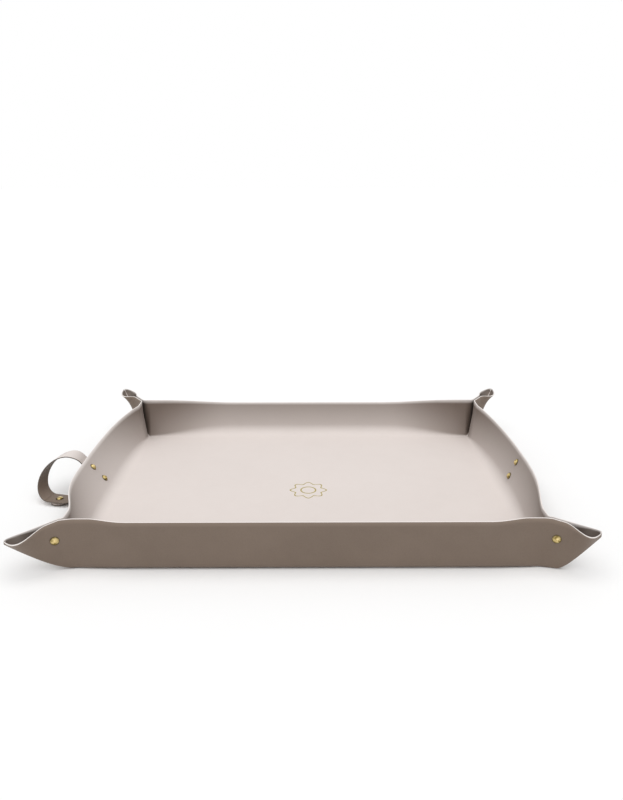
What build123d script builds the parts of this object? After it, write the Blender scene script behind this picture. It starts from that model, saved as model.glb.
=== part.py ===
"""Potting mat of leather-look sheet, pinched up at its corners into a tray, with two strap handles.

Frame: millimetres, +Z up, +X to the right and the front wall at -Y. The origin is the middle of
the floor, on the table.
"""

from build123d import *
import math
import os

# Sheet, flat size and folds
sheet_length = 800.0
sheet_width = 650.0
sheet_thickness = 1.8
wall_slant = 80.0
front_fold_radius = 9.0
rear_fold_radius = 30.0
left_fold_radius = 28.0
right_fold_radius = 24.0
corner_fold_radius = 7.0

# Lean of the walls from upright, in degrees: at mid-wall, then at each corner for its long wall and
# its side wall
front_lean = 3.0
rear_lean = 24.0
left_lean = 41.0
right_lean = 22.0
corner_leans = {
    "front_left": (-2.5, 5.0),
    "front_right": (-2.5, 0.0),
    "rear_left": (5.0, 5.0),
    "rear_right": (5.0, 5.0),
}

# Runs along the walls over which the lean grows, and the power that shapes the growth
front_ease = (50.0, 1.3)
rear_ease = (150.0, 1.3)
side_front_power = 1.3
side_rear_power = 0.9
side_flat = 18.0

# Pinched corner: stations are distances from the floor corner along the ear
pinch_gap = 3.6
pinch_length = 16.0
neck_run = 24.0
neck_rounding = 4.0
ear_tip_cut = 5.0
ear_tip_share = 0.7
ear_bulge = 13.0
ear_dip = 6.0
ear_fold_share = 0.45

# Each ear: its turn from the long wall's line in degrees, where its pinch starts, where its keel
# leaves the table, the rounding of the keel there, its reach and the height of its tip
ear_shapes = {
    "front_left": (15.0, 17.0, 0.0, 40.0, 94.0, 52.0),
    "front_right": (15.0, 11.0, 22.0, 15.0, 80.0, 62.0),
    "rear_left": (45.0, 20.0, 0.0, 15.0, 86.0, 86.0),
    "rear_right": (45.0, 20.0, 0.0, 15.0, 86.0, 86.0),
}

# Cuts that shape each stretch of a half wall
wall_cut_count = 6
neck_cut_count = 3
throat_cut_count = 5
ear_cut_count = 5

# Press stud
snap_height = 46.0
snap_cap_radius = 6.25
snap_cap_rim = 0.7
snap_cap_height = 2.3
snap_post_radius = 1.9
snap_hole_clearance = 0.15
socket_radius = 5.4
socket_base = 0.7
flare_thickness = 0.3
flare_overlap = 0.6
stud_flange_radius = 5.0
stud_flange = 0.8
stud_head_radius = 2.4
stud_neck_radius = 2.1
stud_head_height = 0.5
stud_post_radius = 1.3
mouth_clearance = 0.4
head_clearance = 0.2
spring_wire_radius = 0.23
spring_clearance = 0.45
spring_slack = 0.07
spring_gap = 1.6
eyelet_radius = 5.2
eyelet_height = 1.4

# Rivets
rivet_radius = 6.0
rivet_rim = 0.6
rivet_height = 4.0
rivet_back_radius = 5.0
rivet_back_height = 2.2
rivet_tube_radius = 1.6
rivet_pin_radius = 0.9
rivet_pin_clearance = 0.05
upper_rivet_drop = 18.0
rivet_spacing = 27.0

# Strap handles
strap_width = 30.0
strap_thickness = 1.6
strap_clearance = 0.05
strap_station = 8.0
strap_foot_radius = 5.0
strap_skew = 60.0
flap_length = 38.0
flap_snap_distance = 12.0
flex_clearance = 0.1
tongue_end_radius = 14.0
over_cut_count = 4
loop_cut_count = 8

# Each loop: how far past the rim the strap leaves the wall, the crown's height, the bulge of the
# loop, how far past the crown it comes down, and its swing in degrees. The left loop stands round,
# the right one lies low against the wall.
left_loop = (5.0, 65.0, 28.0, 4.0, 13.0)
right_loop = (-12.0, 54.5, 7.0, 20.0, 0.0)

half_length = sheet_length / 2 - wall_slant
half_width = sheet_width / 2 - wall_slant
pinch_offset = pinch_gap / 2 + sheet_thickness
tongue_lift = eyelet_height
up = Vector(0, 0, 1)


def wall_rim(lean, radius):
    """Reach and height of the rim of a wall that keeps the full slant through its fold."""
    turn = math.radians(90 - lean)
    straight = wall_slant - radius * turn
    reach = radius * math.sin(turn) + straight * math.cos(turn)
    height = radius * (1 - math.cos(turn)) + straight * math.sin(turn)
    return reach, height


def sheet_section(start, heading, reach, height, radius):
    """Sheet cut across: an arc off the level at start, then a straight line up to the rim."""
    plane = Plane(origin=start, x_dir=heading, z_dir=heading.cross(up))
    sight = math.atan2(height - radius, reach)
    touch = sight - math.acos(radius / math.hypot(reach, height - radius))
    middle = (touch - math.pi / 2) / 2
    inner_radius = radius - sheet_thickness

    def on_arc(size, angle):
        return size * math.cos(angle), radius + size * math.sin(angle)

    rim_inside = (
        reach - sheet_thickness * math.cos(touch),
        height - sheet_thickness * math.sin(touch),
    )
    with BuildSketch(plane) as profile:
        with BuildLine():
            ThreePointArc((0, 0), on_arc(radius, middle), on_arc(radius, touch))
            Line(on_arc(radius, touch), (reach, height))
            Line((reach, height), rim_inside)
            Line(rim_inside, on_arc(inner_radius, touch))
            ThreePointArc(
                on_arc(inner_radius, touch), on_arc(inner_radius, middle), (0, sheet_thickness)
            )
            Line((0, sheet_thickness), (0, 0))
        make_face()
    return profile.sketch


class HalfWall:
    """One wall from its middle to a corner, with its layer of the ear at that corner."""

    def __init__(self, corner, along, out, wall, ease, corner_lean, ear_shape):
        self.corner = Vector(corner)
        self.along = Vector(along)
        self.out = Vector(out)
        self.lean, self.radius = wall
        self.span, self.ease_run, self.ease_power = ease
        self.heading, self.pinch_start, self.keel_start, self.keel_rounding = ear_shape[:4]
        self.ear_reach, self.ear_height = ear_shape[4:]
        self.pinch_end = self.pinch_start + pinch_length
        self.tip = self.ear_reach - ear_tip_cut
        self.corner_lean = corner_lean
        self.corner_reach, self.corner_height = wall_rim(corner_lean, corner_fold_radius)
        self.side = (self.out - self.heading * self.out.dot(self.heading)).normalized()

    def keel_height(self, distance):
        """Height of the fold under the ear: level where it starts, then an even climb to the tip."""
        walked = max(0.0, distance - self.keel_start)
        rounding = self.keel_rounding
        climb = math.hypot(self.ear_reach - self.keel_start, rounding) - rounding
        return self.ear_height * (math.hypot(walked, rounding) - rounding) / climb

    def keel(self, distance):
        return self.corner + self.heading * distance + up * self.keel_height(distance)

    def ear_outline(self, distance):
        """Half width and rim height of the ear: parallel through the pinch, then it opens with a
        swell that peaks two thirds along and its rim dips, and it closes at the tip."""
        share = max(0.0, (distance - self.pinch_end) / (self.tip - self.pinch_end))
        swell = 27 / 4 * share**2 * (1 - share)
        width = pinch_offset * (1 - (1 - ear_tip_share) * share) + ear_bulge * swell
        climb = (distance - self.pinch_start) / (self.ear_reach - self.pinch_start)
        level = self.corner_height + (self.ear_height - self.corner_height) * climb
        return width, level - ear_dip * swell

    def wall_section(self, distance):
        """Across the wall: lean and fold radius ease from the corner's to the mid-wall's."""
        share = min(1.0, (distance - neck_run) / self.ease_run)
        ease = math.sin(math.pi / 2 * share) ** self.ease_power
        lean = self.corner_lean + (self.lean - self.corner_lean) * ease
        radius = corner_fold_radius + (self.radius - corner_fold_radius) * ease
        reach, height = wall_rim(lean, radius)
        return sheet_section(self.corner + self.along * distance, self.out, reach, height, radius)

    def neck_section(self, share):
        """From the wall, at 0, to the pinch, at 1, the cut turns from square to the wall to
        square to the ear."""
        walked = share * (neck_run + self.pinch_start)
        if walked <= neck_run:
            start = self.corner + self.along * (neck_run - walked)
        else:
            start = self.keel(walked - neck_run)
        offset = pinch_offset - self.corner_reach * self.out.dot(self.side)
        turn_place = offset / self.along.dot(self.side)
        turned_off = self.along * turn_place + self.out * self.corner_reach
        before = neck_run - turn_place
        after = self.pinch_start - turned_off.dot(self.heading)
        past_turn = share * (before + after) - before
        bent = max(0.0, past_turn)
        if abs(past_turn) < neck_rounding:
            bent = (past_turn + neck_rounding) ** 2 / (4 * neck_rounding)
        rim = (
            self.corner
            + self.along * (turn_place - past_turn + bent)
            + self.out * self.corner_reach
            + self.heading * bent
        )
        flat = rim - Vector(start.X, start.Y, 0)
        radius = corner_fold_radius + (pinch_offset - corner_fold_radius) * share
        return sheet_section(
            start, flat.normalized(), flat.length, self.corner_height - start.Z, radius
        )

    def ear_section(self, distance):
        """Square to the ear: half of a V that stands on the keel and opens to the rim."""
        width, rim_height = self.ear_outline(distance)
        height = rim_height - self.keel_height(distance)
        radius = min(pinch_offset, width, ear_fold_share * height)
        return sheet_section(self.keel(distance), self.side, width, height, radius)

    def stretches(self):
        """Runs of sections, each lofted by itself: flat middle, wall, neck, pinch and tip."""
        flat_end = neck_run + self.ease_run
        corner_share = neck_run / (neck_run + self.pinch_start)

        def spread(first, last, count):
            return [first + (last - first) * i / count for i in range(count + 1)]

        return [
            [self.wall_section(a) for a in (self.span, flat_end)],
            [self.wall_section(a) for a in spread(flat_end, neck_run, wall_cut_count)],
            [self.neck_section(s) for s in spread(0, corner_share, neck_cut_count)],
            [self.neck_section(s) for s in spread(corner_share, 1, throat_cut_count)],
            [self.ear_section(d) for d in (self.pinch_start, self.pinch_end)],
            [self.ear_section(d) for d in spread(self.pinch_end, self.tip, ear_cut_count)],
        ]


front_wall = (front_lean, front_fold_radius)
rear_wall = (rear_lean, rear_fold_radius)
left_wall = (left_lean, left_fold_radius)
right_wall = (right_lean, right_fold_radius)
corners = {
    "front_left": (-1, -1),
    "front_right": (1, -1),
    "rear_left": (-1, 1),
    "rear_right": (1, 1),
}
half_walls = []
snap_places = {}
for name, (sx, sy) in corners.items():
    place = (sx * half_length, sy * half_width, 0)
    side_wall = left_wall if sx < 0 else right_wall
    long_wall = front_wall if sy < 0 else rear_wall
    long_ease = front_ease if sy < 0 else rear_ease
    side_power = side_front_power if sy < 0 else side_rear_power
    side_span = half_width - sy * strap_station
    side_ease = (side_span, side_span - side_flat - neck_run, side_power)
    ear_turn, *ear_size = ear_shapes[name]
    ear_heading = Vector(sx * math.cos(math.radians(ear_turn)), sy * math.sin(math.radians(ear_turn)))
    ear = (ear_heading, *ear_size)
    long_lean, side_lean = corner_leans[name]
    long_ease = (half_length, *long_ease)
    long_half = HalfWall(place, (-sx, 0, 0), (0, sy, 0), long_wall, long_ease, long_lean, ear)
    side_half = HalfWall(place, (0, -sy, 0), (sx, 0, 0), side_wall, side_ease, side_lean, ear)
    half_walls += [long_half, side_half]
    snap_middle = long_half.corner + long_half.heading * (long_half.pinch_start + pinch_length / 2)
    snap_places[name] = Plane(origin=snap_middle + up * snap_height, z_dir=long_half.side)


class StrapPlace:
    """Where a handle lies on a side wall: x is outward from the floor's edge, y is up."""

    def __init__(self, outward, wall, loop):
        lean, fold_radius = wall
        strap_rise, loop_height, self.bulge, drift, self.swing = loop
        self.outward = Vector(outward, 0, 0)
        self.lateral = Vector(0, -outward, 0)
        self.edge = self.outward * half_length + Vector(0, strap_station, 0)
        self.plane = Plane(origin=self.edge, x_dir=self.outward, z_dir=(0, -outward, 0))
        turn = math.radians(90 - lean)
        self.slope = Vector(math.cos(turn), math.sin(turn))
        self.normal = Vector(math.sin(turn), -math.cos(turn))
        self.rim = Vector(*wall_rim(lean, fold_radius))
        # Middle line of the strap: up the wall, over in a wide arc, round and back to the table
        middle_line = strap_clearance + strap_thickness / 2
        self.turn = turn
        self.leave = self.rim + self.normal * middle_line + self.slope * strap_rise
        climb = loop_height - strap_thickness / 2 - self.leave.Y
        self.over_radius = climb / (1 - math.cos(turn))
        self.crown = self.leave + Vector(self.over_radius * math.sin(turn), climb)
        flap_line = tongue_lift + pinch_gap + strap_thickness * 1.5
        self.flex = Vector(self.crown.X + drift, flap_line)
        self.snap = Vector(
            self.flex.X - flap_snap_distance, flap_line - (pinch_gap + strap_thickness) / 2
        )
        # The foot turns from the wall's slope on to the table
        self.foot_line = strap_foot_radius + strap_thickness / 2
        self.foot_start = tongue_lift + strap_thickness / 2 + self.foot_line * (1 + self.slope.X)

    def headings(self, swing):
        """Outward and across directions of the strap after a sideways swing, in degrees."""
        turn = math.radians(swing)
        ahead = self.outward * math.cos(turn) + self.lateral * math.sin(turn)
        across = self.lateral * math.cos(turn) - self.outward * math.sin(turn)
        return ahead, across

    def point(self, flat, slide=0.0, swing=0.0):
        """A place in the handle's own plane, as a point of the part, swung about the strap's exit."""
        ahead, across = self.headings(swing)
        hinge = self.edge + self.outward * self.leave.X
        return hinge + ahead * (flat.X - self.leave.X) + across * slide + up * flat.Y

    def end_point(self, flat, slide=0.0):
        """A place at the strap's snapped end, where the swing and the skew are complete."""
        return self.point(flat, slide - strap_skew, self.swing)

    def snap_frame(self):
        """Plane between tongue and flap, facing up, on the press stud's axis."""
        return Plane(origin=self.end_point(self.snap), z_dir=up)

    def rivet(self, drop):
        """Plane on the wall's outside, facing in, at a distance below the rim."""
        flat = self.rim - self.slope * drop
        inward = self.outward * -self.normal.X + up * -self.normal.Y
        return Plane(origin=self.point(flat), z_dir=inward)


strap_places = {
    "left": StrapPlace(-1, left_wall, left_loop),
    "right": StrapPlace(1, right_wall, right_loop),
}
rivet_drops = {"upper": upper_rivet_drop, "lower": upper_rivet_drop + rivet_spacing}
snap_hole_radius = snap_post_radius + snap_hole_clearance
rivet_hole_radius = rivet_tube_radius + snap_hole_clearance

# The sheet: floor, four walls and four ears in one piece, with holes for the fittings
with BuildPart() as mat_sheet:
    Box(2 * half_length, 2 * half_width, sheet_thickness, align=(Align.CENTER, Align.CENTER, Align.MIN))
    runs = [cuts for half_wall in half_walls for cuts in half_wall.stretches()]
    add([loft(sections=cuts, mode=Mode.PRIVATE) for cuts in runs])
    for snap_plane in snap_places.values():
        with BuildSketch(snap_plane):
            Circle(snap_hole_radius)
        extrude(amount=2 * pinch_offset, both=True, mode=Mode.SUBTRACT)
    for strap_place in strap_places.values():
        for drop in rivet_drops.values():
            with BuildSketch(strap_place.rivet(drop)):
                Circle(rivet_hole_radius)
            extrude(amount=2 * sheet_thickness, both=True, mode=Mode.SUBTRACT)

pieces = {"mat_sheet": mat_sheet}


def turned(frame, outline):
    """Solid of revolution about the frame's z axis, from (radius, height) corners."""
    face = Plane(origin=frame.origin, x_dir=frame.x_dir, z_dir=-frame.y_dir)
    with BuildPart() as solid:
        with BuildSketch(face):
            with BuildLine():
                Polyline(*outline, close=True)
            make_face()
        revolve(axis=Axis(frame.origin, frame.z_dir))
    return solid


def domed(frame, radius, rim, height, stem):
    """Round head that stands on z = 0 with a ball-shaped top, and the outline of its stem below."""
    face = Plane(origin=frame.origin, x_dir=frame.x_dir, z_dir=-frame.y_dir)
    rise = height - rim
    ball = (radius**2 + rise**2) / (2 * rise)
    lean = math.asin(radius / ball) / 2
    crown = (ball * math.sin(lean), height - ball * (1 - math.cos(lean)))
    with BuildPart() as solid:
        with BuildSketch(face):
            with BuildLine():
                ThreePointArc((radius, rim), crown, (0, height))
                Polyline((0, height), *stem, (radius, 0), (radius, rim))
            make_face()
        revolve(axis=Axis(frame.origin, frame.z_dir))
    return solid


def press_stud(prefix, frame, cap_layer, stud_layer):
    """Press stud between two layers whose facing sides lie half a pinch gap either side of the
    frame: cap and socket on its z side, stud and eyelet on the other."""
    face = pinch_gap / 2
    base_end = face - socket_base
    flare_end = base_end - flare_thickness
    mouth = -face + stud_flange + mouth_clearance
    head_top = flare_end - head_clearance
    head_start = head_top - stud_head_height
    spring_inside = stud_head_radius + spring_clearance
    spring_line = spring_inside + spring_wire_radius
    spring_arc = 360 - math.degrees(spring_gap / spring_line)
    cavity = spring_line + spring_wire_radius + spring_slack
    flare = snap_post_radius + flare_overlap
    eyelet_bore = stud_post_radius + snap_hole_clearance
    cap_seat = frame.offset(face + cap_layer)
    depth = face + cap_layer

    pieces[prefix + "_cap"] = domed(
        cap_seat,
        snap_cap_radius,
        snap_cap_rim,
        snap_cap_height,
        [
            (0, flare_end - depth),
            (flare, flare_end - depth),
            (flare, base_end - depth),
            (snap_post_radius, base_end - depth),
            (snap_post_radius, 0),
        ],
    )
    pieces[prefix + "_socket"] = turned(
        frame,
        [
            (snap_hole_radius, face),
            (socket_radius, face),
            (socket_radius, mouth),
            (cavity, mouth),
            (cavity, base_end),
            (snap_hole_radius, base_end),
        ],
    )
    with BuildPart() as spring:
        ring_face = Plane(origin=frame.origin, x_dir=frame.x_dir, z_dir=-frame.y_dir)
        with BuildSketch(ring_face):
            with Locations((spring_line, head_start)):
                Circle(spring_wire_radius)
        revolve(axis=Axis(frame.origin, frame.z_dir), revolution_arc=spring_arc)
    pieces[prefix + "_spring"] = spring
    pieces[prefix + "_stud"] = turned(
        frame,
        [
            (eyelet_bore, -face),
            (stud_flange_radius, -face),
            (stud_flange_radius, -face + stud_flange),
            (stud_neck_radius, -face + stud_flange),
            (stud_neck_radius, head_start),
            (stud_head_radius, head_start + stud_head_height / 2),
            (stud_neck_radius, head_top),
            (eyelet_bore, head_top),
        ],
    )
    eyelet_seat = Plane(
        origin=frame.origin - frame.z_dir * (face + stud_layer), x_dir=frame.x_dir, z_dir=-frame.z_dir
    )
    pieces[prefix + "_eyelet"] = domed(
        eyelet_seat,
        eyelet_radius,
        eyelet_height / 2,
        eyelet_height,
        [
            (0, -stud_layer - face - head_start),
            (stud_post_radius, -stud_layer - face - head_start),
            (stud_post_radius, 0),
        ],
    )


# Corner press studs: the cap is on the front or rear wall, the eyelet on the side wall
for name, snap_plane in snap_places.items():
    press_stud(name + "_snap", snap_plane, sheet_thickness, sheet_thickness)


def strap_band(place):
    """Strap from its tongue on the table, up the wall and round to the flex line of its flap."""
    half = strap_thickness / 2
    foot_top = place.leave - place.slope * ((place.leave.Y - place.foot_start) / place.slope.Y)
    foot_centre = foot_top + place.normal * place.foot_line

    def on_foot(size, angle):
        return foot_centre + Vector(math.cos(angle), math.sin(angle)) * size

    first = math.atan2(-place.normal.Y, -place.normal.X)
    last = math.pi * 3 / 2
    middle = (first + last) / 2
    outer = place.foot_line + half
    inner = place.foot_line - half

    def eased(share):
        return share**2 * (3 - 2 * share)

    def arm_section(flat, tangent, share, swing_share):
        """Cut across the strap, moved sideways and swung along the arm."""
        swing = place.swing * eased(swing_share)
        ahead, across = place.headings(swing)
        middle = place.point(flat, -strap_skew * eased(share), swing)
        plane = Plane(origin=middle, x_dir=across, z_dir=ahead * tangent.X + up * tangent.Y)
        with BuildSketch(plane) as cut:
            Rectangle(strap_width, strap_thickness)
        return cut.sketch

    # The arm goes over in an arc to the crown, then round the loop, half of an oval, to the flex
    over_centre = place.leave + place.normal * place.over_radius
    loop_centre = (place.crown + place.flex) / 2
    loop_rise = place.crown - loop_centre
    stop = -math.pi / 2 + (half + flex_clearance) / place.bulge
    over_share = place.over_radius * place.turn
    over_share /= over_share + math.pi * math.sqrt((place.bulge**2 + loop_rise.length**2) / 2)
    cuts = []
    for i in range(over_cut_count):
        walked = i / over_cut_count
        angle = math.pi / 2 + place.turn * (1 - walked)
        spoke = Vector(math.cos(angle), math.sin(angle))
        flat = over_centre + spoke * place.over_radius
        cuts.append(arm_section(flat, Vector(spoke.Y, -spoke.X), walked * over_share, walked))
    for i in range(loop_cut_count + 1):
        walked = i / loop_cut_count
        angle = math.pi / 2 + (stop - math.pi / 2) * walked
        bulge = Vector(place.bulge, 0)
        flat = loop_centre + loop_rise * math.sin(angle) + bulge * math.cos(angle)
        tangent = bulge * math.sin(angle) - loop_rise * math.cos(angle)
        cuts.append(arm_section(flat, tangent, over_share + walked * (1 - over_share), 1))

    with BuildPart() as band:
        with BuildSketch(place.plane):
            with BuildLine():
                Line(place.leave - place.normal * half, on_foot(outer, first))
                ThreePointArc(on_foot(outer, first), on_foot(outer, middle), on_foot(outer, last))
                Line(on_foot(outer, last), on_foot(inner, last))
                ThreePointArc(on_foot(inner, last), on_foot(inner, middle), on_foot(inner, first))
                Line(on_foot(inner, first), place.leave + place.normal * half)
                Line(place.leave + place.normal * half, place.leave - place.normal * half)
            make_face()
        extrude(amount=strap_width / 2, both=True)
        loft(sections=cuts)
        with BuildSketch(Plane.XY.offset(tongue_lift)):
            with BuildLine():
                foot_end = Vector(foot_centre.X, 0)
                Line(place.point(foot_end, -strap_width / 2), place.point(foot_end, strap_width / 2))
                CenterArc(place.end_point(Vector(place.snap.X, 0)), tongue_end_radius, 0, 360)
            make_hull()
        extrude(amount=strap_thickness)
        with BuildSketch(place.snap_frame()):
            Circle(snap_hole_radius)
        extrude(amount=-pinch_offset - strap_thickness, mode=Mode.SUBTRACT)
        for drop in rivet_drops.values():
            with BuildSketch(place.rivet(drop)):
                Circle(rivet_hole_radius)
            extrude(amount=-2 * strap_thickness, mode=Mode.SUBTRACT)
    return band


def strap_flap(place):
    """Free end of the strap: flat, round-ended, with a rolled edge on the flex line."""
    half = strap_thickness / 2
    end = Vector(place.flex.X - flap_length + strap_width / 2, 0)
    with BuildPart() as flap:
        with BuildSketch(Plane.XY.offset(place.flex.Y - half)):
            with BuildLine():
                start = Vector(place.flex.X, 0)
                Line(
                    place.end_point(start, -strap_width / 2),
                    place.end_point(start, strap_width / 2),
                )
                CenterArc(place.end_point(end), strap_width / 2, 0, 360)
            make_hull()
        extrude(amount=strap_thickness)
        across = place.headings(place.swing)[1]
        with BuildSketch(Plane(origin=place.end_point(place.flex), z_dir=across)):
            Circle(half)
        extrude(amount=strap_width / 2, both=True)
        with BuildSketch(place.snap_frame()):
            Circle(snap_hole_radius)
        extrude(amount=pinch_offset + strap_thickness, mode=Mode.SUBTRACT)
    return flap


def rivet(prefix, frame):
    """Two-part rivet: a cap with a tube on the inside of the wall, a pin with a head on the strap."""
    strap_face = strap_clearance + strap_thickness
    stack = strap_face + sheet_thickness
    bore = rivet_pin_radius + rivet_pin_clearance
    tube_end = -stack + rivet_pin_clearance
    pieces[prefix + "_cap"] = domed(
        frame.offset(sheet_thickness),
        rivet_radius,
        rivet_rim,
        rivet_height,
        [(0, 0), (bore, 0), (bore, tube_end), (rivet_tube_radius, tube_end), (rivet_tube_radius, 0)],
    )
    back = Plane(origin=frame.origin - frame.z_dir * strap_face, x_dir=frame.x_dir, z_dir=-frame.z_dir)
    pin_end = -stack + rivet_pin_clearance
    pieces[prefix + "_pin"] = domed(
        back,
        rivet_back_radius,
        rivet_rim,
        rivet_back_height,
        [(0, pin_end), (rivet_pin_radius, pin_end), (rivet_pin_radius, 0)],
    )


# Handles: strap, its flap, two rivets and the press stud that closes the loop
for side, strap_place in strap_places.items():
    pieces[side + "_strap"] = strap_band(strap_place)
    pieces[side + "_strap_flap"] = strap_flap(strap_place)
    for level, drop in rivet_drops.items():
        rivet(side + "_" + level + "_rivet", strap_place.rivet(drop))
    press_stud(side + "_strap_snap", strap_place.snap_frame(), strap_thickness, strap_thickness)

os.makedirs("parts", exist_ok=True)
for label, piece in pieces.items():
    piece.part.label = label
    export_step(piece.part, "parts/" + label + ".step")
    print(label, len(piece.part.solids()), round(piece.part.volume, 1), piece.part.is_valid)
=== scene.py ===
"""Potting tray of soft leather-look sheet: the folded sheet, two strap handles and brass fittings.

Lengths are millimetres in the shape functions and metres in the meshes. +X is right, +Y is to the
rear and +Z is up; the origin is the middle of the floor, on the table.
"""

import math
from collections import namedtuple

import bmesh
import bpy
import numpy as np
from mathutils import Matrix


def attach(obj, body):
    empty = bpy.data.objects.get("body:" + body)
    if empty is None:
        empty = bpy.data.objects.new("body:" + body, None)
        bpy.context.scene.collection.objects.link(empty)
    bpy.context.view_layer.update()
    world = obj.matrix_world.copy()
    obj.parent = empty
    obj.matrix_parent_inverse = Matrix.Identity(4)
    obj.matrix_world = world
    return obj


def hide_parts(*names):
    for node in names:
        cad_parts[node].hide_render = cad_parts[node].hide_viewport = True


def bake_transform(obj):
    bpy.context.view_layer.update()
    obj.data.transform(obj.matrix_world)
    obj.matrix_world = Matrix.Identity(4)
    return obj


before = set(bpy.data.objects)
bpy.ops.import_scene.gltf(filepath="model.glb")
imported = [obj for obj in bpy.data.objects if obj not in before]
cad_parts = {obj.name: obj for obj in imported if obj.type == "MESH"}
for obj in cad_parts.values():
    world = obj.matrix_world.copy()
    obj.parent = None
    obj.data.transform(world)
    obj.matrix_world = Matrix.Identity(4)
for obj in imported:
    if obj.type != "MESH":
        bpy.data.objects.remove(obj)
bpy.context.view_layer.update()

UP = np.array([0.0, 0.0, 1.0])

# The sheet, its walls from fold to rim, and half of the floor
THICKNESS = 1.8
SLANT = 80.0
HALF_LENGTH, HALF_WIDTH = 320.0, 245.0
EDGE_ROUNDING = 0.45

# Folds at a corner: the wall's last stretch, which bends on to the ear, and the pinch, where each
# layer lies one offset from the middle plane and a press stud holds both
CORNER_RADIUS = 7.0
NECK_RUN, NECK_ROUNDING = 24.0, 4.0
PINCH_OFFSET, PINCH_LENGTH = 3.6, 16.0
SNAP_HEIGHT = 46.0

# What an ear's half opening gains at its widest, the dip of its rim there, and what its tip loses
EAR_SWELL, EAR_DIP, EAR_TIP_CUT = 13.0, 6.0, 5.0
# Share of the offset that is lost at the tip, and the most of its height that an ear's fold takes
TIP_NARROWING, EAR_FOLD_SHARE = 0.3, 0.45

# Lean in degrees and fold radius of each wall
FRONT_WALL, REAR_WALL = (3.0, 9.0), (24.0, 30.0)
LEFT_WALL, RIGHT_WALL = (41.0, 28.0), (22.0, 24.0)
# Distance over which a long wall comes to its full lean, and powers of the easing
FRONT_EASE_RUN, REAR_EASE_RUN = 50.0, 150.0
EASE_POWER, SIDE_REAR_EASE_POWER = 1.3, 0.9
# The straps' place on the side walls, rear of the middle, and the stretch to each side of it that
# keeps the wall's full lean
STRAP_STATION, SIDE_FLAT = 8.0, 18.0

# Each corner's ear: its turn from the long wall's line in degrees, where its pinch starts, where its
# keel leaves the table, the rounding of the keel there, its reach and the height of its tip
Ear = namedtuple("Ear", "turn pinch_start keel_start keel_rounding reach tip_height")
EARS = {
    (-1, -1): Ear(15.0, 17.0, 0.0, 40.0, 94.0, 52.0),
    (1, -1): Ear(15.0, 11.0, 22.0, 15.0, 80.0, 62.0),
    (-1, 1): Ear(45.0, 20.0, 0.0, 15.0, 86.0, 86.0),
    (1, 1): Ear(45.0, 20.0, 0.0, 15.0, 86.0, 86.0),
}
# Lean at each corner of its long wall and of its side wall
CORNER_LEANS = {
    (-1, -1): (-2.5, 5.0),
    (1, -1): (-2.5, 0.0),
    (-1, 1): (5.0, 5.0),
    (1, 1): (5.0, 5.0),
}


# Shader expressions


class Value:
    """A socket in a material's node tree; arithmetic on it adds Math nodes."""

    def __init__(self, paint, socket):
        self.paint = paint
        self.socket = socket

    def math(self, operation, *others, clamp=False):
        """One Math node on this value and any others."""
        inputs = dict(enumerate([self, *others]))
        return self.paint.node("ShaderNodeMath", inputs, operation=operation, use_clamp=clamp)

    def __add__(self, other):
        return self.math("ADD", other)

    __radd__ = __add__

    def __mul__(self, other):
        return self.math("MULTIPLY", other)

    __rmul__ = __mul__

    def __sub__(self, other):
        return self.math("SUBTRACT", other)

    def __rsub__(self, other):
        return self.paint.node("ShaderNodeMath", {0: other, 1: self}, operation="SUBTRACT")

    def __truediv__(self, other):
        return self.math("DIVIDE", other)

    def __pow__(self, other):
        return self.math("POWER", other)

    def __abs__(self):
        return self.math("ABSOLUTE")

    def clamped(self):
        """The value cut to the range from 0 to 1."""
        return self.math("ADD", 0.0, clamp=True)


class Paint:
    """A material and the nodes that make it."""

    def __init__(self, name):
        self.material = bpy.data.materials.new(name)
        self.material.use_nodes = True
        self.tree = self.material.node_tree
        self.shader = self.tree.nodes["Principled BSDF"]

    def node(self, kind, inputs=None, output=0, **settings):
        """Adds a node: its settings first, then the values or links of its sockets."""
        made = self.tree.nodes.new(kind)
        for key, value in settings.items():
            setattr(made, key, value)
        for key, value in (inputs or {}).items():
            if isinstance(value, Value):
                self.tree.links.new(value.socket, made.inputs[key])
            else:
                made.inputs[key].default_value = value
        return Value(self, made.outputs[output])

    def mixed(self, factor, first, second):
        """Colour between two colours, by a factor from 0 to 1."""
        return self.node(
            "ShaderNodeMix",
            {"Factor": factor, 6: first, 7: second},
            output=2,
            data_type="RGBA",
        )

    def set(self, **sockets):
        """Puts values and links on the shader's own sockets, named in lower case."""
        for key, value in sockets.items():
            name = key.replace("_", " ").title().replace("Ior", "IOR")
            if isinstance(value, Value):
                self.tree.links.new(value.socket, self.shader.inputs[name])
            else:
                self.shader.inputs[name].default_value = value
        return self.material


def rgb(red, green, blue):
    """Colour as a socket takes it, with full alpha."""
    return (red, green, blue, 1.0)


# Near-black painted shade for the hollow between an ear's layers
PAINTED_HOLLOW_SHADE = rgb(0.03, 0.024, 0.018)
FOIL_TONE = rgb(0.42, 0.33, 0.07)


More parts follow.
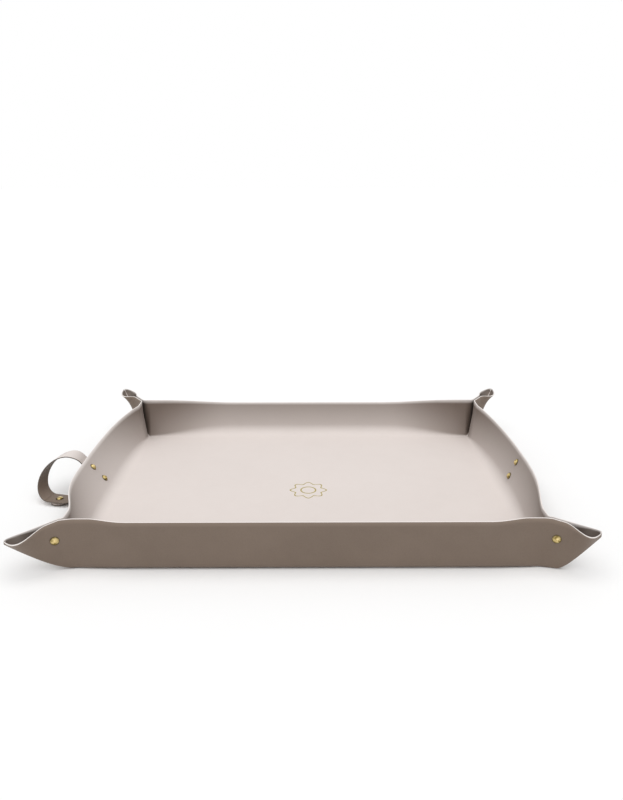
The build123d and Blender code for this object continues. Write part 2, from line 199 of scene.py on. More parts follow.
def grained(name, colour, shade, painted_shade=None, rim_colour=None, foil=False):
    """Leather-look coating: a pebble grain of two cell sizes over a fine noise, slow drifts of
    colour and roughness, painted shade in the folds and upright places that an attribute of
    painted shade marks, and a band of wear next to the cut edge, by the rim attribute. The painted
    shade is full where its attribute is 1, and darkens to a near-black painted shade from there to 2."""
    paint = Paint(name)
    place = paint.node("ShaderNodeTexCoord", output=3)
    pebble, fine = (
        paint.node("ShaderNodeTexVoronoi", {"Vector": place, "Scale": scale}, feature="SMOOTH_F1")
        for scale in (620.0, 1350.0)
    )
    dust = paint.node("ShaderNodeTexNoise", {"Vector": place, "Scale": 2600.0, "Detail": 2.0})
    drift = paint.node("ShaderNodeTexNoise", {"Vector": place, "Scale": 7.0, "Detail": 3.0})
    patch = paint.node("ShaderNodeTexNoise", {"Vector": place, "Scale": 38.0, "Detail": 4.0})
    height = pebble * 0.6 + fine * 0.3 + dust * 0.15
    tone = (drift * 0.7 + patch * 0.3 + pebble * 0.25 - 0.2).clamped()
    base = paint.mixed(tone, rgb(*colour), rgb(*shade))
    if painted_shade:
        # Painted shade: the attribute darkens the coating to the painted shade colour, then to the
        # near-black painted shade in an ear's hollow
        fold = paint.node("ShaderNodeAttribute", output=2, attribute_name="painted_shade")
        base = paint.mixed(fold.clamped(), base, rgb(*painted_shade))
        base = paint.mixed((fold * 0.8 - 0.8).clamped(), base, PAINTED_HOLLOW_SHADE)
    if rim_colour:
        rim_band = paint.node("ShaderNodeAttribute", output=2, attribute_name="rim")
        base = paint.mixed((rim_band * (0.9 + patch * 0.6)).clamped(), base, rgb(*rim_colour))
    rough = 0.46 + patch * 0.16 + pebble * 0.1
    metallic = 0.0
    if foil:
        mask = rosette(paint, place)
        base = paint.mixed(mask, base, FOIL_TONE)
        rough = rough * (1 - mask * 0.55)
        metallic = mask * 0.7
    bump = paint.node("ShaderNodeBump", {"Strength": 0.55, "Distance": 0.00016, "Height": height})
    return paint.set(
        base_color=base,
        roughness=rough,
        metallic=metallic,
        normal=bump,
        sheen_weight=0.08,
        sheen_roughness=0.5,
    )


# Foil stamp, lengths in metres: how far it sits towards the front and its count of lobes, mean radius
# and wave of its lobed ring and radius of its plain ring, then the width over which a line fades by
# 1, its value in the line's middle, before it is cut to 1, and the highest level that it covers
STAMP_FORWARD, STAMP_LOBES = 0.005, 8.0
STAMP_RADIUS, STAMP_WAVE, STAMP_RING = 0.027, 0.0035, 0.0125
STAMP_FADE, STAMP_FULL, STAMP_LEVEL = 0.001, 1.7, 0.004


def rosette(paint, place):
    """Foil stamp on the floor: a thin wavy ring of eight lobes round a small plain ring. Each line is
    where the distance from the middle meets the ring's radius, which for the lobes is a mean plus a
    cosine of the angle."""
    across = paint.node("ShaderNodeSeparateXYZ", {0: place})
    along, level = (Value(paint, out) for out in across.socket.node.outputs[1:])
    along = along + STAMP_FORWARD
    radius = (across * across + along * along) ** 0.5
    lobes = (along.math("ARCTAN2", across) * STAMP_LOBES).math("COSINE")
    outer = abs(radius - (STAMP_RADIUS + lobes * STAMP_WAVE))
    inner = abs(radius - STAMP_RING)
    line = outer.math("MINIMUM", inner)
    stroke = (STAMP_FULL - line / STAMP_FADE).clamped()
    return stroke * (STAMP_LEVEL - level).math("GREATER_THAN", 0.0)


def cut_edge(name, colour):
    """Cut edge of a sheet or strap: an even core with fine fibres, a little deeper in places."""
    paint = Paint(name)
    place = paint.node("ShaderNodeTexCoord", output=3)
    fibre = paint.node("ShaderNodeTexNoise", {"Vector": place, "Scale": 1800.0, "Detail": 4.0})
    drift = paint.node("ShaderNodeTexNoise", {"Vector": place, "Scale": 40.0, "Detail": 3.0})
    deeper = tuple(0.86 * c for c in colour)
    base = paint.mixed((fibre * 0.6 + drift * 0.5 - 0.1).clamped(), rgb(*colour), rgb(*deeper))
    bump = paint.node("ShaderNodeBump", {"Strength": 0.4, "Distance": 0.0001, "Height": fibre})
    return paint.set(base_color=base, roughness=0.62 + fibre * 0.2, normal=bump)


def polished(name, colour, dark_reflection, rough, painted_rim_reflection):
    """Plated metal: clouds of a darker tone as painted dark reflections, a painted dark reflection
    towards the rim where the rim attribute marks it, fine rub marks in the roughness and a soft
    waviness."""
    paint = Paint(name)
    place = paint.node("ShaderNodeTexCoord", output=3)
    cloud = paint.node("ShaderNodeTexNoise", {"Vector": place, "Scale": 260.0, "Detail": 3.0})
    rub = paint.node("ShaderNodeTexNoise", {"Vector": place, "Scale": 2400.0, "Detail": 4.0})
    # Painted dark reflections: clouds of the darker colour
    base = paint.mixed((cloud * 4.0 - 1.6).clamped(), rgb(*colour), rgb(*dark_reflection))
    rim_band = paint.node("ShaderNodeAttribute", output=2, attribute_name="rim")
    # Painted dark reflection towards the rim, by the rim attribute
    base = paint.mixed((rim_band * (0.7 + cloud * 0.6)).clamped(), base, rgb(*painted_rim_reflection))
    bump = paint.node("ShaderNodeBump", {"Strength": 0.12, "Distance": 0.00005, "Height": rub})
    return paint.set(
        base_color=base, metallic=1.0, roughness=rough + cloud * 0.1 + rub * 0.06, normal=bump
    )


# Inside of the sheet: the third colour is painted shade for upright sheet, folds, corners and the
# ears
INSIDE = grained(
    "sheet_inside",
    (0.76, 0.69, 0.655),
    (0.70, 0.63, 0.595),
    painted_shade=(0.175, 0.133, 0.108),
    rim_colour=(0.93, 0.875, 0.845),
    foil=True,
)
OUTSIDE = grained(
    "sheet_outside", (0.212, 0.156, 0.117), (0.146, 0.105, 0.077), rim_colour=(0.235, 0.177, 0.136)
)
SHEET_EDGE = cut_edge("sheet_edge", (0.92, 0.86, 0.825))
# Strap face: its third colour is painted shade where the strap turns upright
STRAP_FACE = grained(
    "strap_face", (0.78, 0.71, 0.68), (0.71, 0.645, 0.61), painted_shade=(0.18, 0.135, 0.102)
)
STRAP_BACK = grained("strap_back", (0.2, 0.147, 0.11), (0.138, 0.099, 0.073))
STRAP_EDGE = cut_edge("strap_edge", (0.13, 0.102, 0.082))
# Brass and steel: the second colour is painted dark reflection in clouds, the last a painted dark
# reflection towards a head's rim
BRASS = polished("brass", (0.86, 0.68, 0.32), (0.3, 0.21, 0.055), 0.12, (0.05, 0.036, 0.01))
STEEL = polished("spring_steel", (0.62, 0.62, 0.6), (0.42, 0.42, 0.41), 0.26, (0.3, 0.3, 0.29))


# Meshes


def grid_faces(rows, columns, closed=False):
    """Corner numbers of the quads of a grid of rows x columns points; closed joins its last column
    to its first."""
    index = np.arange(rows * columns).reshape(rows, columns)
    if closed:
        index = np.concatenate([index, index[:, :1]], axis=1)
    quads = np.stack([index[:-1, :-1], index[:-1, 1:], index[1:, 1:], index[1:, :-1]], axis=-1)
    return quads.reshape(-1, 4)


def piece(name, patches, materials, attributes=()):
    """Object from patches of (points in mm, quads, material number per quad), with shared seams
    merged and faces turned outwards. Each patch has one more item, a value per point, for each name
    in attributes."""
    counts = np.cumsum([0] + [len(p[0]) for p in patches])
    points = np.concatenate([p[0] for p in patches]) / 1000
    quads = np.concatenate([p[1] + c for p, c in zip(patches, counts)])
    numbers = np.concatenate([np.broadcast_to(p[2], len(p[1])) for p in patches])
    mesh = bpy.data.meshes.new(name)
    mesh.from_pydata(points, [], quads)
    for material in materials:
        mesh.materials.append(material)
    mesh.polygons.foreach_set("material_index", numbers.astype(np.int32))
    mesh.polygons.foreach_set("use_smooth", np.ones(len(quads), bool))
    for i, attribute in enumerate(attributes):
        layer = mesh.attributes.new(attribute, "FLOAT", "POINT")
        values = np.concatenate([np.broadcast_to(p[3 + i], len(p[0])) for p in patches])
        layer.data.foreach_set("value", values.astype(np.float32))
    shaped = bmesh.new()
    shaped.from_mesh(mesh)
    bmesh.ops.remove_doubles(shaped, verts=shaped.verts, dist=2e-5)
    bmesh.ops.dissolve_degenerate(shaped, edges=shaped.edges, dist=1e-6)
    bmesh.ops.recalc_face_normals(shaped, faces=shaped.faces)
    shaped.to_mesh(mesh)
    shaped.free()
    mesh.update()
    made = bpy.data.objects.new(name, mesh)
    bpy.context.scene.collection.objects.link(made)
    return made


def unit(v):
    """Vectors divided by their lengths."""
    return v / np.linalg.norm(v, axis=-1, keepdims=True)


# The sheet


def wall_rim(lean, radius):
    """Reach and height of the rim of a wall that keeps the full slant through its fold."""
    turn = np.radians(90 - lean)
    straight = SLANT - radius * turn
    reach = radius * np.sin(turn) + straight * np.cos(turn)
    height = radius * (1 - np.cos(turn)) + straight * np.sin(turn)
    return reach, height


ARC_STEPS, LINE_STEPS, EDGE_STEPS, EAR_STEPS = 9, 9, 4, 30
SIDE_POINTS = ARC_STEPS + LINE_STEPS + 1
# Worn band: its value at the rim, before it is cut to 1, and the distance over which it falls by 1
RIM_WEAR, RIM_FADE = 1.3, 2.6
# Painted shade: power of the tilt, then the share at the wall's foot and what the rim has more
SHADE_TILT_POWER, FOOT_SHADE, RISE_SHADE = 0.8, 0.35, 0.8
# Painted shade where a long wall meets a corner: share added there, distance over which it fades
# and its power
CORNER_SHADE, CORNER_SHADE_RUN, CORNER_SHADE_POWER = 0.5, 120.0, 1.5
# Painted shade that the ear's hollow still adds at its tip, and the tone from which all these
# additions are full
TIP_HOLLOW_SHADE, FULL_SHADE = 0.4, 0.25


def sections(start, heading, reach, height, radius):
    """Sheet cut across at many stations at once: outside from the fold to the rim, an arc off the
    level and then a straight line, round the cut edge, and down the inside, one thickness away.
    Gives points (stations, points across), how near the rim each point is and how much painted shade
    it has, both from 0 to 1. The painted shade grows with the tilt of the sheet and with the share of
    its height."""
    reach, height, radius = (v[:, None] for v in (reach, height, radius))
    sight = np.arctan2(height - radius, reach)
    touch = sight - np.arccos(radius / np.hypot(reach, height - radius))
    arc = -np.pi / 2 + (touch + np.pi / 2) * np.linspace(0, 1, ARC_STEPS + 1)
    normal = np.stack([np.cos(touch), np.sin(touch)])
    slope = np.stack([-np.sin(touch), np.cos(touch)])
    run = np.linspace(0, 1, LINE_STEPS + 1)[1:]

    def side(offset):
        """Arc and line one offset inside the outer face."""
        size = radius - offset
        on_arc = np.stack([size * np.cos(arc), radius + size * np.sin(arc)])
        end = np.stack([reach, height]) - normal * offset - slope * EDGE_ROUNDING
        on_line = on_arc[:, :, -1:] + (end - on_arc[:, :, -1:]) * run
        return np.concatenate([on_arc, on_line], axis=2)

    round_edge = np.linspace(0, np.pi, EDGE_STEPS + 1)[1:-1]
    middle = np.stack([reach, height]) - normal * THICKNESS / 2 - slope * EDGE_ROUNDING
    edge = (
        middle
        + normal * THICKNESS / 2 * np.cos(round_edge)
        + slope * EDGE_ROUNDING * np.sin(round_edge)
    )
    flat = np.concatenate([side(0.0), edge, side(THICKNESS)[:, :, ::-1]], axis=2)
    points = start[:, None, :] + heading[:, None, :] * flat[0][..., None] + UP * flat[1][..., None]
    below = np.hypot(reach - flat[0], height - flat[1])
    line_tilt = np.broadcast_to(touch, (len(touch), 2 * LINE_STEPS + EDGE_STEPS - 1))
    tilt = np.concatenate([arc, line_tilt, arc[:, ::-1]], axis=1)
    # Painted shade: stronger where the sheet stands upright and higher up the wall
    tone = (1 + np.sin(tilt)) ** SHADE_TILT_POWER * (FOOT_SHADE + RISE_SHADE * flat[1] / height)
    return points, np.clip(RIM_WEAR - below / RIM_FADE, 0, 1), np.clip(tone, 0, 1)


def ear_heading(sx, sy):
    """Level direction in which a corner's ear points."""
    turn = math.radians(EARS[sx, sy].turn)
    return np.array([sx * math.cos(turn), sy * math.sin(turn), 0.0])


class HalfWall:
    """One wall from its middle to a corner, with its layer of the ear at that corner."""

    def __init__(self, sx, sy, along, out, wall, ease_run, ease_power):
        self.corner = np.array([sx * HALF_LENGTH, sy * HALF_WIDTH, 0.0])
        self.along, self.out = np.array(along, float), np.array(out, float)
        self.lean, self.radius = wall
        self.ease_run, self.ease_power = ease_run, ease_power
        self.corner_lean = CORNER_LEANS[sx, sy][0 if along[0] else 1]
        self.heading = ear_heading(sx, sy)
        ear = EARS[sx, sy]
        self.pinch_start, self.pinch_end = ear.pinch_start, ear.pinch_start + PINCH_LENGTH
        self.keel_start, self.keel_rounding = ear.keel_start, ear.keel_rounding
        self.ear_reach, self.ear_height = ear.reach, ear.tip_height
        self.tip = self.ear_reach - EAR_TIP_CUT
        self.corner_reach, self.corner_height = wall_rim(self.corner_lean, CORNER_RADIUS)
        self.side = unit(self.out - self.heading * self.out.dot(self.heading))

    def keel_height(self, distance):
        """Fold under the ear: level where it starts, then an even climb to the tip."""
        walked = np.maximum(0.0, distance - self.keel_start)
        rounding = self.keel_rounding
        climb = math.hypot(self.ear_reach - self.keel_start, rounding) - rounding
        return self.ear_height * (np.hypot(walked, rounding) - rounding) / climb

    def keel(self, distance):
        """Points of the fold under the ear, at distances from the floor's corner."""
        flat = self.corner + self.heading * distance[:, None]
        return flat + UP * self.keel_height(distance)[:, None]

    def wall(self, stations):
        """Lean and fold radius ease from the corner's to the mid-wall's."""
        share = np.clip((stations - NECK_RUN) / self.ease_run, 0, 1)
        ease = np.sin(np.pi / 2 * share) ** self.ease_power
        lean = self.corner_lean + (self.lean - self.corner_lean) * ease
        radius = CORNER_RADIUS + (self.radius - CORNER_RADIUS) * ease
        start = self.corner + self.along * stations[:, None]
        heading = np.broadcast_to(self.out, start.shape)
        return start, heading, *wall_rim(lean, radius), radius

    def neck(self, share):
        """The cut turns from square to the wall, at 0, to square to the ear, at 1, while the rim
        goes along the wall and bends on to the ear."""
        walked = share * (NECK_RUN + self.pinch_start)
        on_wall = self.corner + self.along * (NECK_RUN - walked)[:, None]
        on_keel = self.keel(np.maximum(0.0, walked - NECK_RUN))
        start = np.where((walked <= NECK_RUN)[:, None], on_wall, on_keel)
        offset = PINCH_OFFSET - self.corner_reach * self.out.dot(self.side)
        turn_place = offset / self.along.dot(self.side)
        turned_off = self.along * turn_place + self.out * self.corner_reach
        before = NECK_RUN - turn_place
        after = self.pinch_start - turned_off.dot(self.heading)
        past = share * (before + after) - before
        rounded = (past + NECK_ROUNDING) ** 2 / (4 * NECK_ROUNDING)
        bent = np.where(np.abs(past) < NECK_ROUNDING, rounded, np.maximum(0.0, past))
        rim = (
            self.corner
            + self.along * (turn_place - past + bent)[:, None]
            + self.out * self.corner_reach
            + self.heading * bent[:, None]
        )
        flat = rim - start * [1, 1, 0]
        reach = np.linalg.norm(flat, axis=1)
        radius = CORNER_RADIUS + (PINCH_OFFSET - CORNER_RADIUS) * share
        return start, flat / reach[:, None], reach, self.corner_height - start[:, 2], radius

    def ear(self, distance):
        """Half of a V on the keel: parallel through the pinch, then it opens with a swell that
        peaks two thirds along while its rim dips, and it closes at the tip."""
        share = np.maximum(0.0, (distance - self.pinch_end) / (self.tip - self.pinch_end))
        swell = 27 / 4 * share**2 * (1 - share)
        width = PINCH_OFFSET * (1 - TIP_NARROWING * share) + EAR_SWELL * swell
        climb = (distance - self.pinch_start) / (self.ear_reach - self.pinch_start)
        level = self.corner_height + (self.ear_height - self.corner_height) * climb
        height = level - EAR_DIP * swell - self.keel_height(distance)
        radius = np.minimum(np.minimum(PINCH_OFFSET, width), EAR_FOLD_SHARE * height)
        start = self.keel(distance)
        heading = np.broadcast_to(self.side, start.shape)
        return start, heading, width, height, radius

    def with_painted_shade(self, tone, stations, neck_rows):
        """Painted shade: the tone goes part of the way to 1 as a long wall nears its corner, and all
        the way along the neck. From two thirds of the neck on, painted shade for the hollow between
        the ear's layers adds up to 1 more, and less towards the tip. The level foot of the sheet
        keeps its own tone."""
        necked = np.linspace(0, 1, neck_rows)
        gather = CORNER_SHADE * abs(self.along[0])
        nearing = np.clip(1 - (stations - NECK_RUN) / CORNER_SHADE_RUN, 0, 1) ** CORNER_SHADE_POWER
        inwards = np.concatenate(
            [gather * nearing, gather + (1 - gather) * necked, np.ones(EAR_STEPS)]
        )
        hollow = np.concatenate(
            [
                np.zeros(len(stations)),
                np.clip(3 * necked - 2, 0, 1),
                np.linspace(1, TIP_HOLLOW_SHADE, EAR_STEPS),
            ]
        )
        full = np.clip(tone / FULL_SHADE, 0, 1)
        return tone + ((1 - tone) * inwards[:, None] + hollow[:, None]) * full

    def patches(self, stations):
        """Wall, neck and ear as one grid of points, and the strip that closes the ear's tip."""
        corner_share = NECK_RUN / (NECK_RUN + self.pinch_start)
        neck_shares = np.concatenate(
            [WALL_SHARES[1:] * corner_share, 1 - EAR_SHARES * (1 - corner_share)]
        )
        parts = [
            self.wall(stations[::-1]),
            self.neck(neck_shares),
            self.ear(np.linspace(self.pinch_start, self.tip, EAR_STEPS + 1)[1:]),
        ]
        points, near, tone = sections(*(np.concatenate(v) for v in zip(*parts)))
        tone = self.with_painted_shade(tone, stations[::-1], len(neck_shares))
        rows, columns = points.shape[:2]
        band = np.arange(columns - 1)
        edge = (band >= SIDE_POINTS - 1) & (band < columns - SIDE_POINTS)
        number = np.tile(np.where(edge, 2, np.where(band < SIDE_POINTS, 1, 0)), rows - 1)
        quads = grid_faces(rows, columns)
        grid = (points.reshape(-1, 3), quads, number, near.ravel(), tone.ravel())
        outer, inner = points[-1, :SIDE_POINTS], points[-1, : -SIDE_POINTS - 1 : -1]
        tip = np.stack([outer, inner]).reshape(-1, 3)
        return [grid, (tip, grid_faces(2, SIDE_POINTS), 2, 1.0, 0.0)]


# Cuts through a neck, as shares of its run on the wall and, backwards, of its run on the ear
WALL_SHARES, EAR_SHARES = np.linspace(0, 1, 16), np.linspace(0.9, 0, 10)
# The floor's lines between a neck and the corner
CORNER_LINES = NECK_RUN * (1 - WALL_SHARES)


def wall_stations(span, count):
    """Distances from the corner of the cuts along a half wall, closer together near the corner."""
    share = np.linspace(0, 1, count)
    return NECK_RUN + (span - NECK_RUN) * (0.75 * share + 0.25 * share**2)


def folded_sheet():
    """Floor, walls and ears. The floor is a pair of level grids on the stations of the walls."""
    long_stations = wall_stations(HALF_LENGTH, 40)
    front_stations = wall_stations(HALF_WIDTH + STRAP_STATION, 36)
    rear_stations = wall_stations(HALF_WIDTH - STRAP_STATION, 34)
    made = []
    for sx, sy in EARS:
        long_wall, long_run = (FRONT_WALL, FRONT_EASE_RUN) if sy < 0 else (REAR_WALL, REAR_EASE_RUN)
        long_half = HalfWall(sx, sy, (-sx, 0, 0), (0, sy, 0), long_wall, long_run, EASE_POWER)
        side_stations = front_stations if sy < 0 else rear_stations
        side_wall = LEFT_WALL if sx < 0 else RIGHT_WALL
        side_run = side_stations[-1] - SIDE_FLAT - NECK_RUN
        side_power = EASE_POWER if sy < 0 else SIDE_REAR_EASE_POWER
        side_half = HalfWall(sx, sy, (0, -sy, 0), (sx, 0, 0), side_wall, side_run, side_power)
        made += long_half.patches(long_stations) + side_half.patches(side_stations)

    def lines(half, low, high):
        """Places of the floor's lines across one of its sizes, from the stations of both halves."""
        low = np.concatenate([CORNER_LINES[::-1], low[1:]])
        high = np.concatenate([CORNER_LINES[::-1], high[1:]])
        return np.concatenate([low - half, half - high[-2::-1]])

    x = lines(HALF_LENGTH, long_stations, long_stations)
    y = lines(HALF_WIDTH, front_stations, rear_stations)
    grid_x, grid_y = np.meshgrid(x, y, indexing="ij")
    for level, number in ((THICKNESS, 0), (0.0, 1)):
        points = np.stack([grid_x, grid_y, np.full_like(grid_x, level)], axis=-1).reshape(-1, 3)
        made.append((points, grid_faces(len(x), len(y)), number, 0.0, 0.0))
    return piece("mat_sheet_folded", made, [INSIDE, OUTSIDE, SHEET_EDGE], ("rim", "painted_shade"))


sheet = folded_sheet()
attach(sheet, "tray")
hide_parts("mat_sheet")


# The strap handles

# Strap: half its width, its thickness, its gaps to the table and the wall, half its tongue's width
STRAP_HALF, STRAP_THICKNESS = 15.0, 1.6
STRAP_LIFT, WALL_GAP = 1.4, 0.05
TONGUE_HALF = 14.0
# Sideways run of the loop, length of the flap, and its press stud's distance from the flex line
STRAP_SKEW, FLAP_LENGTH, FLAP_SNAP = 60.0, 38.0, 12.0
# Middle lines: the flap's, one press stud above the tongue, and the radius of the bend at the foot
FLAP_LINE = STRAP_LIFT + PINCH_OFFSET + 1.5 * STRAP_THICKNESS
FOOT_BEND = 5.0
FOOT_LINE = FOOT_BEND + STRAP_THICKNESS / 2
UPPER_RIVET, RIVET_SPACING = 18.0, 27.0


def eased(share):
    """Smooth step: three squares less two cubes of the share."""
    return share**2 * (3 - 2 * share)


class Handle:
    """A strap on a side wall: in its own plane, x is outward from the floor's edge and y is up.
    It goes from its tongue on the table up the wall, over in an arc, round half an oval and back to
    the flex line of its flap. Rise is where it leaves the wall, above the rim; the crown is its top;
    bulge is the half width of the oval, drift the way out from the crown to the flex line, and swing
    the turn of the loop, in degrees."""

    def __init__(self, outward, wall, rise, crown_height, bulge, drift, swing):
        lean, radius = wall
        self.outward = np.array([outward, 0.0, 0.0])
        self.lateral = np.array([0.0, -outward, 0.0])
        self.edge = self.outward * HALF_LENGTH + np.array([0, STRAP_STATION, 0])
        self.turn = math.radians(90 - lean)
        self.slope = np.array([math.cos(self.turn), math.sin(self.turn)])
        self.normal = np.array([math.sin(self.turn), -math.cos(self.turn)])
        self.rim = np.array(wall_rim(lean, radius))
        self.swing, self.bulge = math.radians(swing), bulge
        self.leave = self.rim + self.normal * (WALL_GAP + STRAP_THICKNESS / 2) + self.slope * rise
        climb = crown_height - STRAP_THICKNESS / 2 - self.leave[1]
        self.over_radius = climb / (1 - math.cos(self.turn))
        self.crown = self.leave + np.array([self.over_radius * math.sin(self.turn), climb])
        self.flex = np.array([self.crown[0] + drift, FLAP_LINE])

    def headings(self, swing):
        """Outward and across directions after a sideways swing."""
        c, s = np.cos(swing)[..., None], np.sin(swing)[..., None]
        return self.outward * c + self.lateral * s, self.lateral * c - self.outward * s

    def place(self, flat, slide, swing):
        """Points of the part for places in the handle's plane, swung about the strap's exit."""
        ahead, across = self.headings(swing)
        hinge = self.edge + self.outward * self.leave[0]
        reach = (flat[:, 0] - self.leave[0])[:, None]
        return hinge + ahead * reach + across * slide[:, None] + UP * flat[:, 1:]

    def stations(self, flat, tangent, slide, swing):
        """Middle, half width and upper normal of the strap at places in the handle's plane."""
        ahead, across = self.headings(swing)
        tangent = unit(tangent)
        normal = ahead * -tangent[:, 1:] + UP * tangent[:, :1]
        return self.place(flat, slide, swing), across * STRAP_HALF, normal

    def on_table(self, flat_x, slide, level):
        """A place at the snapped end, where swing and skew are complete."""
        flat = np.array([[flat_x, level]])
        return self.place(flat, np.array([slide - STRAP_SKEW]), np.array([self.swing]))[0]

    def tongue(self):
        """On the table: round end about the press stud, then a taper to the strap's foot, whose
        width turns from square to the tongue to square to the strap."""
        foot_place = np.array([[self.foot_centre()[0], 0.0]])
        foot = self.place(foot_place, np.zeros(1), np.zeros(1))[0]
        level = STRAP_LIFT + STRAP_THICKNESS / 2
        snap = self.on_table(self.flex[0] - FLAP_SNAP, 0.0, 0.0)
        heading = unit(snap - foot)
        width = np.cross(UP, heading) * np.sign(np.cross(UP, heading) @ self.lateral)
        bow = np.linspace(np.pi / 2, 0, 13)
        round_end = snap + heading * TONGUE_HALF * np.sin(bow)[:, None]
        share = np.linspace(0, 1, 21)[1:-1, None]
        middle = np.concatenate([round_end, snap + (foot - snap) * share])
        half = np.concatenate(
            [
                width * TONGUE_HALF * np.cos(bow)[:, None],
                width * TONGUE_HALF * (1 - share) + self.lateral * STRAP_HALF * share,
            ]
        )
        return middle + UP * level, half, np.broadcast_to(UP, middle.shape)

    def foot_centre(self):
        """Centre of the bend that touches both the table's and the wall's run of the strap."""
        start = STRAP_LIFT + STRAP_THICKNESS / 2 + FOOT_LINE * (1 + self.slope[0])
        top = self.leave - self.slope * (self.leave[1] - start) / self.slope[1]
        return top + self.normal * FOOT_LINE

    def wall_run(self):
        """Quarter turn off the table, then straight up the wall to where the strap leaves it."""
        first = math.atan2(-self.normal[1], -self.normal[0])
        angle = np.linspace(1.5 * np.pi, first, 13)
        spoke = np.stack([np.cos(angle), np.sin(angle)], axis=1)
        bend = self.foot_centre() + spoke * FOOT_LINE
        share = np.linspace(0, 1, 20)[1:-1, None]
        flat = np.concatenate([bend, bend[-1] + (self.leave - bend[-1]) * share])
        bend_tangent = np.stack([spoke[:, 1], -spoke[:, 0]], axis=1)
        tangent = np.concatenate([bend_tangent, np.broadcast_to(self.slope, (len(share), 2))])
        still = np.zeros(len(flat))
        return self.stations(flat, tangent, still, still)

    def arm(self):
        """Over in an arc to the crown, then round half of an oval to the flex line, while the strap
        moves sideways and swings."""
        walked = np.linspace(0, 1, 15)[:-1]
        angle = np.pi / 2 + self.turn * (1 - walked)
        spoke = np.stack([np.cos(angle), np.sin(angle)], axis=1)
        over = self.leave + self.normal * self.over_radius + spoke * self.over_radius
        over_tangent = np.stack([spoke[:, 1], -spoke[:, 0]], axis=1)
        centre = (self.crown + self.flex) / 2
        rise = self.crown - centre
        bulge = np.array([self.bulge, 0.0])
        share = np.linspace(0, 1, 61)
        round_loop = (np.pi / 2 - np.pi * share)[:, None]
        loop = centre + rise * np.sin(round_loop) + bulge * np.cos(round_loop)
        loop_tangent = bulge * np.sin(round_loop) - rise * np.cos(round_loop)
        over_share = self.over_radius * self.turn
        over_share /= over_share + np.pi * math.sqrt((self.bulge**2 + rise @ rise) / 2)
        whole = np.concatenate([walked * over_share, over_share + share * (1 - over_share)])
        swing = np.concatenate([eased(walked), np.ones(len(share))]) * self.swing
        return self.stations(
            np.concatenate([over, loop]),
            np.concatenate([over_tangent, loop_tangent]),
            -STRAP_SKEW * eased(whole),
            swing,
        )

    def flap(self):
        """Flat free end, from the flex line to its round end."""
        straight = np.linspace(0, FLAP_LENGTH - STRAP_HALF, 18)[1:]
        bow = np.linspace(0, np.pi / 2, 15)[1:]
        ahead, across = self.headings(np.array([self.swing]))
        run = np.concatenate([straight, straight[-1] + STRAP_HALF * np.sin(bow)])
        half = np.concatenate([np.full(len(straight), STRAP_HALF), STRAP_HALF * np.cos(bow)])
        start = self.on_table(self.flex[0], 0.0, FLAP_LINE)
        middle = start - ahead * run[:, None]
        return middle, across * half[:, None], np.broadcast_to(-UP, middle.shape)


FACE_POINTS, ROUND_POINTS = 9, 5
STRAP_ROUNDING = 0.8
# Power of the uprightness in the strap's painted shade
STRAP_SHADE_TILT_POWER = 0.9


def band(middle, half, normal, cut):
    """Strap skin: a flat oblong with rounded edges carried along the stations. The rows across are
    given by the share of the half width and of the half thickness: the face, an edge, the back and
    the other edge. A strip between the upper and lower rows closes it at the station where it is
    cut square. Painted shade grows as the strap turns upright."""
    inset = 1 - STRAP_ROUNDING / STRAP_HALF
    flat = np.linspace(-inset, inset, FACE_POINTS)
    turn = np.linspace(np.pi / 2, -np.pi / 2, ROUND_POINTS + 2)[1:-1]
    edge = inset + (1 - inset) * np.cos(turn)
    level = np.ones(FACE_POINTS)
    across = np.concatenate([flat, edge, flat[::-1], -edge[::-1]])
    lift = np.concatenate([level, np.sin(turn), -level, np.sin(turn[::-1])])
    number = np.repeat([0, 1, 2, 1], [FACE_POINTS - 1, ROUND_POINTS + 1] * 2)
    points = (
        middle[:, None]
        + half[:, None] * across[:, None]
        + normal[:, None] * lift[:, None] * STRAP_THICKNESS / 2
    )
    rows, columns = points.shape[:2]
    quads = grid_faces(rows, columns, closed=True)
    # Painted shade: darker where the strap turns upright
    tone = np.repeat((1 - np.abs(normal[:, 2])) ** STRAP_SHADE_TILT_POWER, columns)
    end = points[cut]
    right = FACE_POINTS + ROUND_POINTS // 2
    left = right + FACE_POINTS + ROUND_POINTS
    upper = np.concatenate([end[left:], end[: right + 1]])
    lower = end[left : right - 1 : -1]
    return [
        (points.reshape(-1, 3), quads, np.tile(number, rows - 1), tone),
        (np.concatenate([upper, lower]), grid_faces(2, len(upper)), 1, 0.0),
    ]


HANDLES = {
    "left": Handle(-1, LEFT_WALL, rise=5.0, crown_height=65.0, bulge=28.0, drift=4.0, swing=13.0),
    "right": Handle(1, RIGHT_WALL, rise=-12.0, crown_height=54.5, bulge=7.0, drift=20.0, swing=0.0),
}
